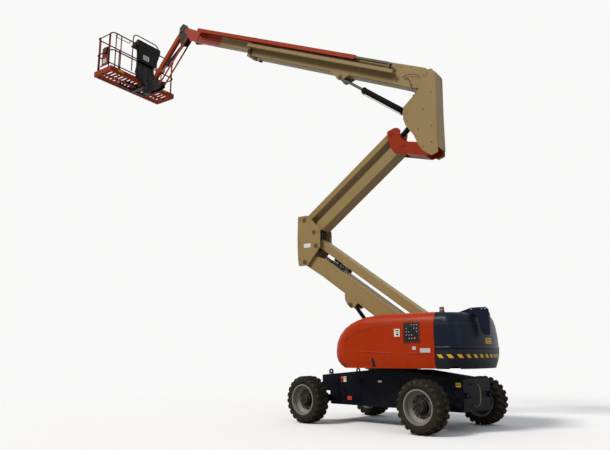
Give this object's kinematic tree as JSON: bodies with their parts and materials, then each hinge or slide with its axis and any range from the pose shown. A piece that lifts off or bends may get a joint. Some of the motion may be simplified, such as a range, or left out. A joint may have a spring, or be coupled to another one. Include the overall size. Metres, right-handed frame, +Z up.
{
  "type": "articulating boom lift",
  "caption": "Self-propelled articulating boom lift with two parallelogram risers, telescopic boom, jib and railed work platform, half raised on four wheels.",
  "frame": {"origin": "on the ground under the slewing axis, midway between the axles", "axes": "+X the way the boom points, +Y to the machine's left, +Z up"},
  "size_m": [11.073, 2.973, 10.977],
  "materials": {
    "navy_paint": "satin",
    "tail_paint": "satin",
    "orange_paint": "satin",
    "cream_paint": "satin",
    "black_paint": "satin",
    "rubber": "matte",
    "rim_silver": "satin",
    "chrome": "polished",
    "amber_plastic": "satin"
  },
  "bodies": {
    "chassis": {"chassis_frame": "navy_paint", "steer_axle": "navy_paint", "drive_axle": "navy_paint", "slew_ring": "black_paint", "tie_down_lugs": "navy_paint"},
    "steer_knuckle_left": {"steer_knuckle_left": "black_paint"},
    "steer_knuckle_right": {"steer_knuckle_right": "black_paint"},
    "wheel_steer_left": {"tyre_steer_left": "rubber", "rim_steer_left": "rim_silver"},
    "wheel_steer_right": {"tyre_steer_right": "rubber", "rim_steer_right": "rim_silver"},
    "wheel_drive_left": {"tyre_drive_left": "rubber", "rim_drive_left": "rim_silver"},
    "wheel_drive_right": {"tyre_drive_right": "rubber", "rim_drive_right": "rim_silver"},
    "turntable": {"turntable_frame": "navy_paint", "counterweight": "tail_paint", "tail_cover": "tail_paint", "tail_guard": "tail_paint", "beacon": "amber_plastic", "engine_block": "black_paint", "control_box": "black_paint"},
    "hood_left": {"hood_left": "orange_paint"},
    "hood_right": {"hood_right": "orange_paint"},
    "lower_riser": {"lower_riser": "cream_paint"},
    "lower_riser_link": {"lower_riser_link": "cream_paint"},
    "riser_knuckle": {"riser_knuckle": "cream_paint"},
    "upper_riser": {"upper_riser": "cream_paint"},
    "upper_riser_link": {"upper_riser_link": "cream_paint"},
    "upright": {"upright": "cream_paint", "upright_bracket": "orange_paint", "level_cylinder": "black_paint"},
    "base_boom": {"base_boom": "cream_paint"},
    "cable_carrier": {"cable_carrier": "black_paint"},
    "fly_boom": {"fly_boom": "cream_paint", "carrier_tray": "orange_paint"},
    "boom_tip": {"boom_tip": "black_paint"},
    "jib_boom": {"jib_boom": "orange_paint", "jib_cylinder_rod": "chrome"},
    "jib_link": {"jib_link": "orange_paint"},
    "platform_support": {"platform_support": "black_paint"},
    "platform": {"platform_swivel": "black_paint", "platform_floor": "orange_paint", "platform_rails": "orange_paint", "platform_console": "black_paint"},
    "platform_gate": {"platform_gate": "orange_paint"},
    "tower_cylinder_barrel": {"tower_cylinder_barrel": "black_paint"},
    "tower_cylinder_rod": {"tower_cylinder_rod": "chrome"},
    "boom_cylinder_barrel": {"boom_cylinder_barrel": "black_paint"},
    "boom_cylinder_rod": {"boom_cylinder_rod": "chrome"},
    "jib_cylinder_barrel": {"jib_cylinder_barrel": "black_paint"}
  },
  "joints": [
    {"name": "swing", "type": "hinge", "parent": "chassis", "child": "turntable", "pos_m": [0, 0, 1.04], "axis": [0, 0, 1], "range_deg": [-180, 180]},
    {"name": "steer_left", "type": "hinge", "parent": "chassis", "child": "steer_knuckle_left", "pos_m": [-1.19323, 1.08533, 0.4535], "axis": [0, 0, 1], "range_deg": [-35, 35]},
    {"name": "steer_right", "type": "hinge", "parent": "chassis", "child": "steer_knuckle_right", "pos_m": [-1.48157, -0.63772, 0.4535], "axis": [0, 0, 1], "range_deg": [-35, 35]},
    {"name": "wheel_steer_left_spin", "type": "hinge", "parent": "steer_knuckle_left", "child": "wheel_steer_left", "pos_m": [-1.166, 1.24806, 0.4535], "axis": [0.165, 0.9863, 0], "continuous": true},
    {"name": "wheel_steer_right_spin", "type": "hinge", "parent": "steer_knuckle_right", "child": "wheel_steer_right", "pos_m": [-1.5088, -0.80045, 0.4535], "axis": [0.165, 0.9863, 0], "continuous": true},
    {"name": "wheel_drive_left_spin", "type": "hinge", "parent": "chassis", "child": "wheel_drive_left", "pos_m": [1.5088, 0.80045, 0.4535], "axis": [0.165, 0.9863, 0], "continuous": true},
    {"name": "wheel_drive_right_spin", "type": "hinge", "parent": "chassis", "child": "wheel_drive_right", "pos_m": [1.166, -1.24806, 0.4535], "axis": [0.165, 0.9863, 0], "continuous": true},
    {"name": "hood_left_open", "type": "hinge", "parent": "turntable", "child": "hood_left", "pos_m": [-0.3, 0.313, 2.046], "axis": [1, 0, 0], "range_deg": [0, 60]},
    {"name": "hood_right_open", "type": "hinge", "parent": "turntable", "child": "hood_right", "pos_m": [-0.3, -0.313, 2.046], "axis": [-1, 0, 0], "range_deg": [0, 60]},
    {"name": "tower_lift", "type": "hinge", "parent": "turntable", "child": "lower_riser", "pos_m": [-0.547, 0, 1.519], "axis": [0, -1, 0], "range_deg": [-33, 22]},
    {"name": "lower_link_swing", "type": "hinge", "parent": "turntable", "child": "lower_riser_link", "pos_m": [-0.846, 0, 1.866], "axis": [0, -1, 0], "range_deg": [-33.5, 22.5]},
    {"name": "knuckle_level", "type": "hinge", "parent": "lower_riser", "child": "riser_knuckle", "pos_m": [1.96095, 0, 3.34113], "axis": [0, -1, 0], "range_deg": [-22.5, 33.5]},
    {"name": "upper_riser_swing", "type": "hinge", "parent": "riser_knuckle", "child": "upper_riser", "pos_m": [1.70995, 0, 3.99713], "axis": [0, -1, 0], "range_deg": [-22.5, 33.5]},
    {"name": "upper_link_swing", "type": "hinge", "parent": "riser_knuckle", "child": "upper_riser_link", "pos_m": [1.96895, 0, 4.30213], "axis": [0, -1, 0], "range_deg": [-22.5, 33.5]},
    {"name": "upright_level", "type": "hinge", "parent": "upper_riser", "child": "upright", "pos_m": [-0.49866, 0, 5.60179], "axis": [0, -1, 0], "range_deg": [-33.5, 22.5]},
    {"name": "tower_rod_swing", "type": "hinge", "parent": "lower_riser", "child": "tower_cylinder_rod", "pos_m": [0.84, 0, 2.347], "axis": [0, -1, 0], "range_deg": [-4.54, 3.19]},
    {"name": "tower_barrel_slide", "type": "slide", "parent": "tower_cylinder_rod", "child": "tower_cylinder_barrel", "axis": [0.617, 0, 0.787], "range_m": [-0.207, 0.308]},
    {"name": "boom_lift", "type": "hinge", "parent": "upright", "child": "base_boom", "pos_m": [-1.072, 0, 7.033], "axis": [0, -1, 0], "range_deg": [-33, 46]},
    {"name": "boom_rod_swing", "type": "hinge", "parent": "base_boom", "child": "boom_cylinder_rod", "pos_m": [1.008, 0, 7.574], "axis": [0, -1, 0], "range_deg": [-4.01, 3.02]},
    {"name": "boom_barrel_slide", "type": "slide", "parent": "boom_cylinder_rod", "child": "boom_cylinder_barrel", "axis": [0.7848, 0, 0.6198], "range_m": [-0.658, 0.4734]},
    {"name": "boom_telescope", "type": "slide", "parent": "base_boom", "child": "fly_boom", "axis": [0.9018, 0, 0.4321], "range_m": [-1.9, 2]},
    {"name": "cable_carrier_roll", "type": "slide", "parent": "base_boom", "child": "cable_carrier", "axis": [0.9018, 0, 0.4321], "range_m": [-0.955, 1.005]},
    {"name": "boom_tip_level", "type": "hinge", "parent": "fly_boom", "child": "boom_tip", "pos_m": [6.215, 0, 10.56], "axis": [0, -1, 0], "range_deg": [-46.5, 33.5]},
    {"name": "jib_lift", "type": "hinge", "parent": "boom_tip", "child": "jib_boom", "pos_m": [6.5, 0, 10.66], "axis": [0, -1, 0], "range_deg": [-20, 70]},
    {"name": "jib_link_swing", "type": "hinge", "parent": "boom_tip", "child": "jib_link", "pos_m": [6.188, 0, 10.375], "axis": [0, -1, 0], "range_deg": [-20.5, 70.5]},
    {"name": "platform_level", "type": "hinge", "parent": "jib_boom", "child": "platform_support", "pos_m": [7.63924, 0, 9.48028], "axis": [0, -1, 0], "range_deg": [-70.5, 20.5]},
    {"name": "jib_barrel_slide", "type": "slide", "parent": "jib_boom", "child": "jib_cylinder_barrel", "axis": [0.8187, 0, -0.5742], "range_m": [-0.4525, 0.1328]},
    {"name": "platform_rotate", "type": "hinge", "parent": "platform_support", "child": "platform", "pos_m": [7.96, 0, 9.33], "axis": [0, 0, 1], "range_deg": [-90, 90]},
    {"name": "platform_gate_open", "type": "hinge", "parent": "platform", "child": "platform_gate", "pos_m": [8.315, 1.201, 10], "axis": [0, 0, -1], "range_deg": [0, 85]}
  ],
  "couplings": [
    {"joint": "steer_right", "follows": "steer_left", "ratio": 1},
    {"joint": "lower_link_swing", "follows": "tower_lift", "ratio": 1},
    {"joint": "knuckle_level", "follows": "tower_lift", "ratio": -1},
    {"joint": "upper_riser_swing", "follows": "tower_lift", "ratio": -1},
    {"joint": "upper_link_swing", "follows": "tower_lift", "ratio": -1},
    {"joint": "upright_level", "follows": "tower_lift", "ratio": 1},
    {"joint": "tower_rod_swing", "follows": "tower_lift", "ratio": 0.12238},
    {"joint": "tower_barrel_slide", "follows": "tower_lift", "m_per_rad": -0.526},
    {"joint": "boom_rod_swing", "follows": "boom_lift", "ratio": -0.076297},
    {"joint": "boom_barrel_slide", "follows": "boom_lift", "m_per_rad": -0.8133},
    {"joint": "cable_carrier_roll", "follows": "boom_telescope", "ratio": 0.5},
    {"joint": "boom_tip_level", "follows": "boom_lift", "ratio": -1},
    {"joint": "jib_link_swing", "follows": "jib_lift", "ratio": 1},
    {"joint": "platform_level", "follows": "jib_lift", "ratio": -1},
    {"joint": "jib_barrel_slide", "follows": "jib_lift", "m_per_rad": -0.36626}
  ]
}
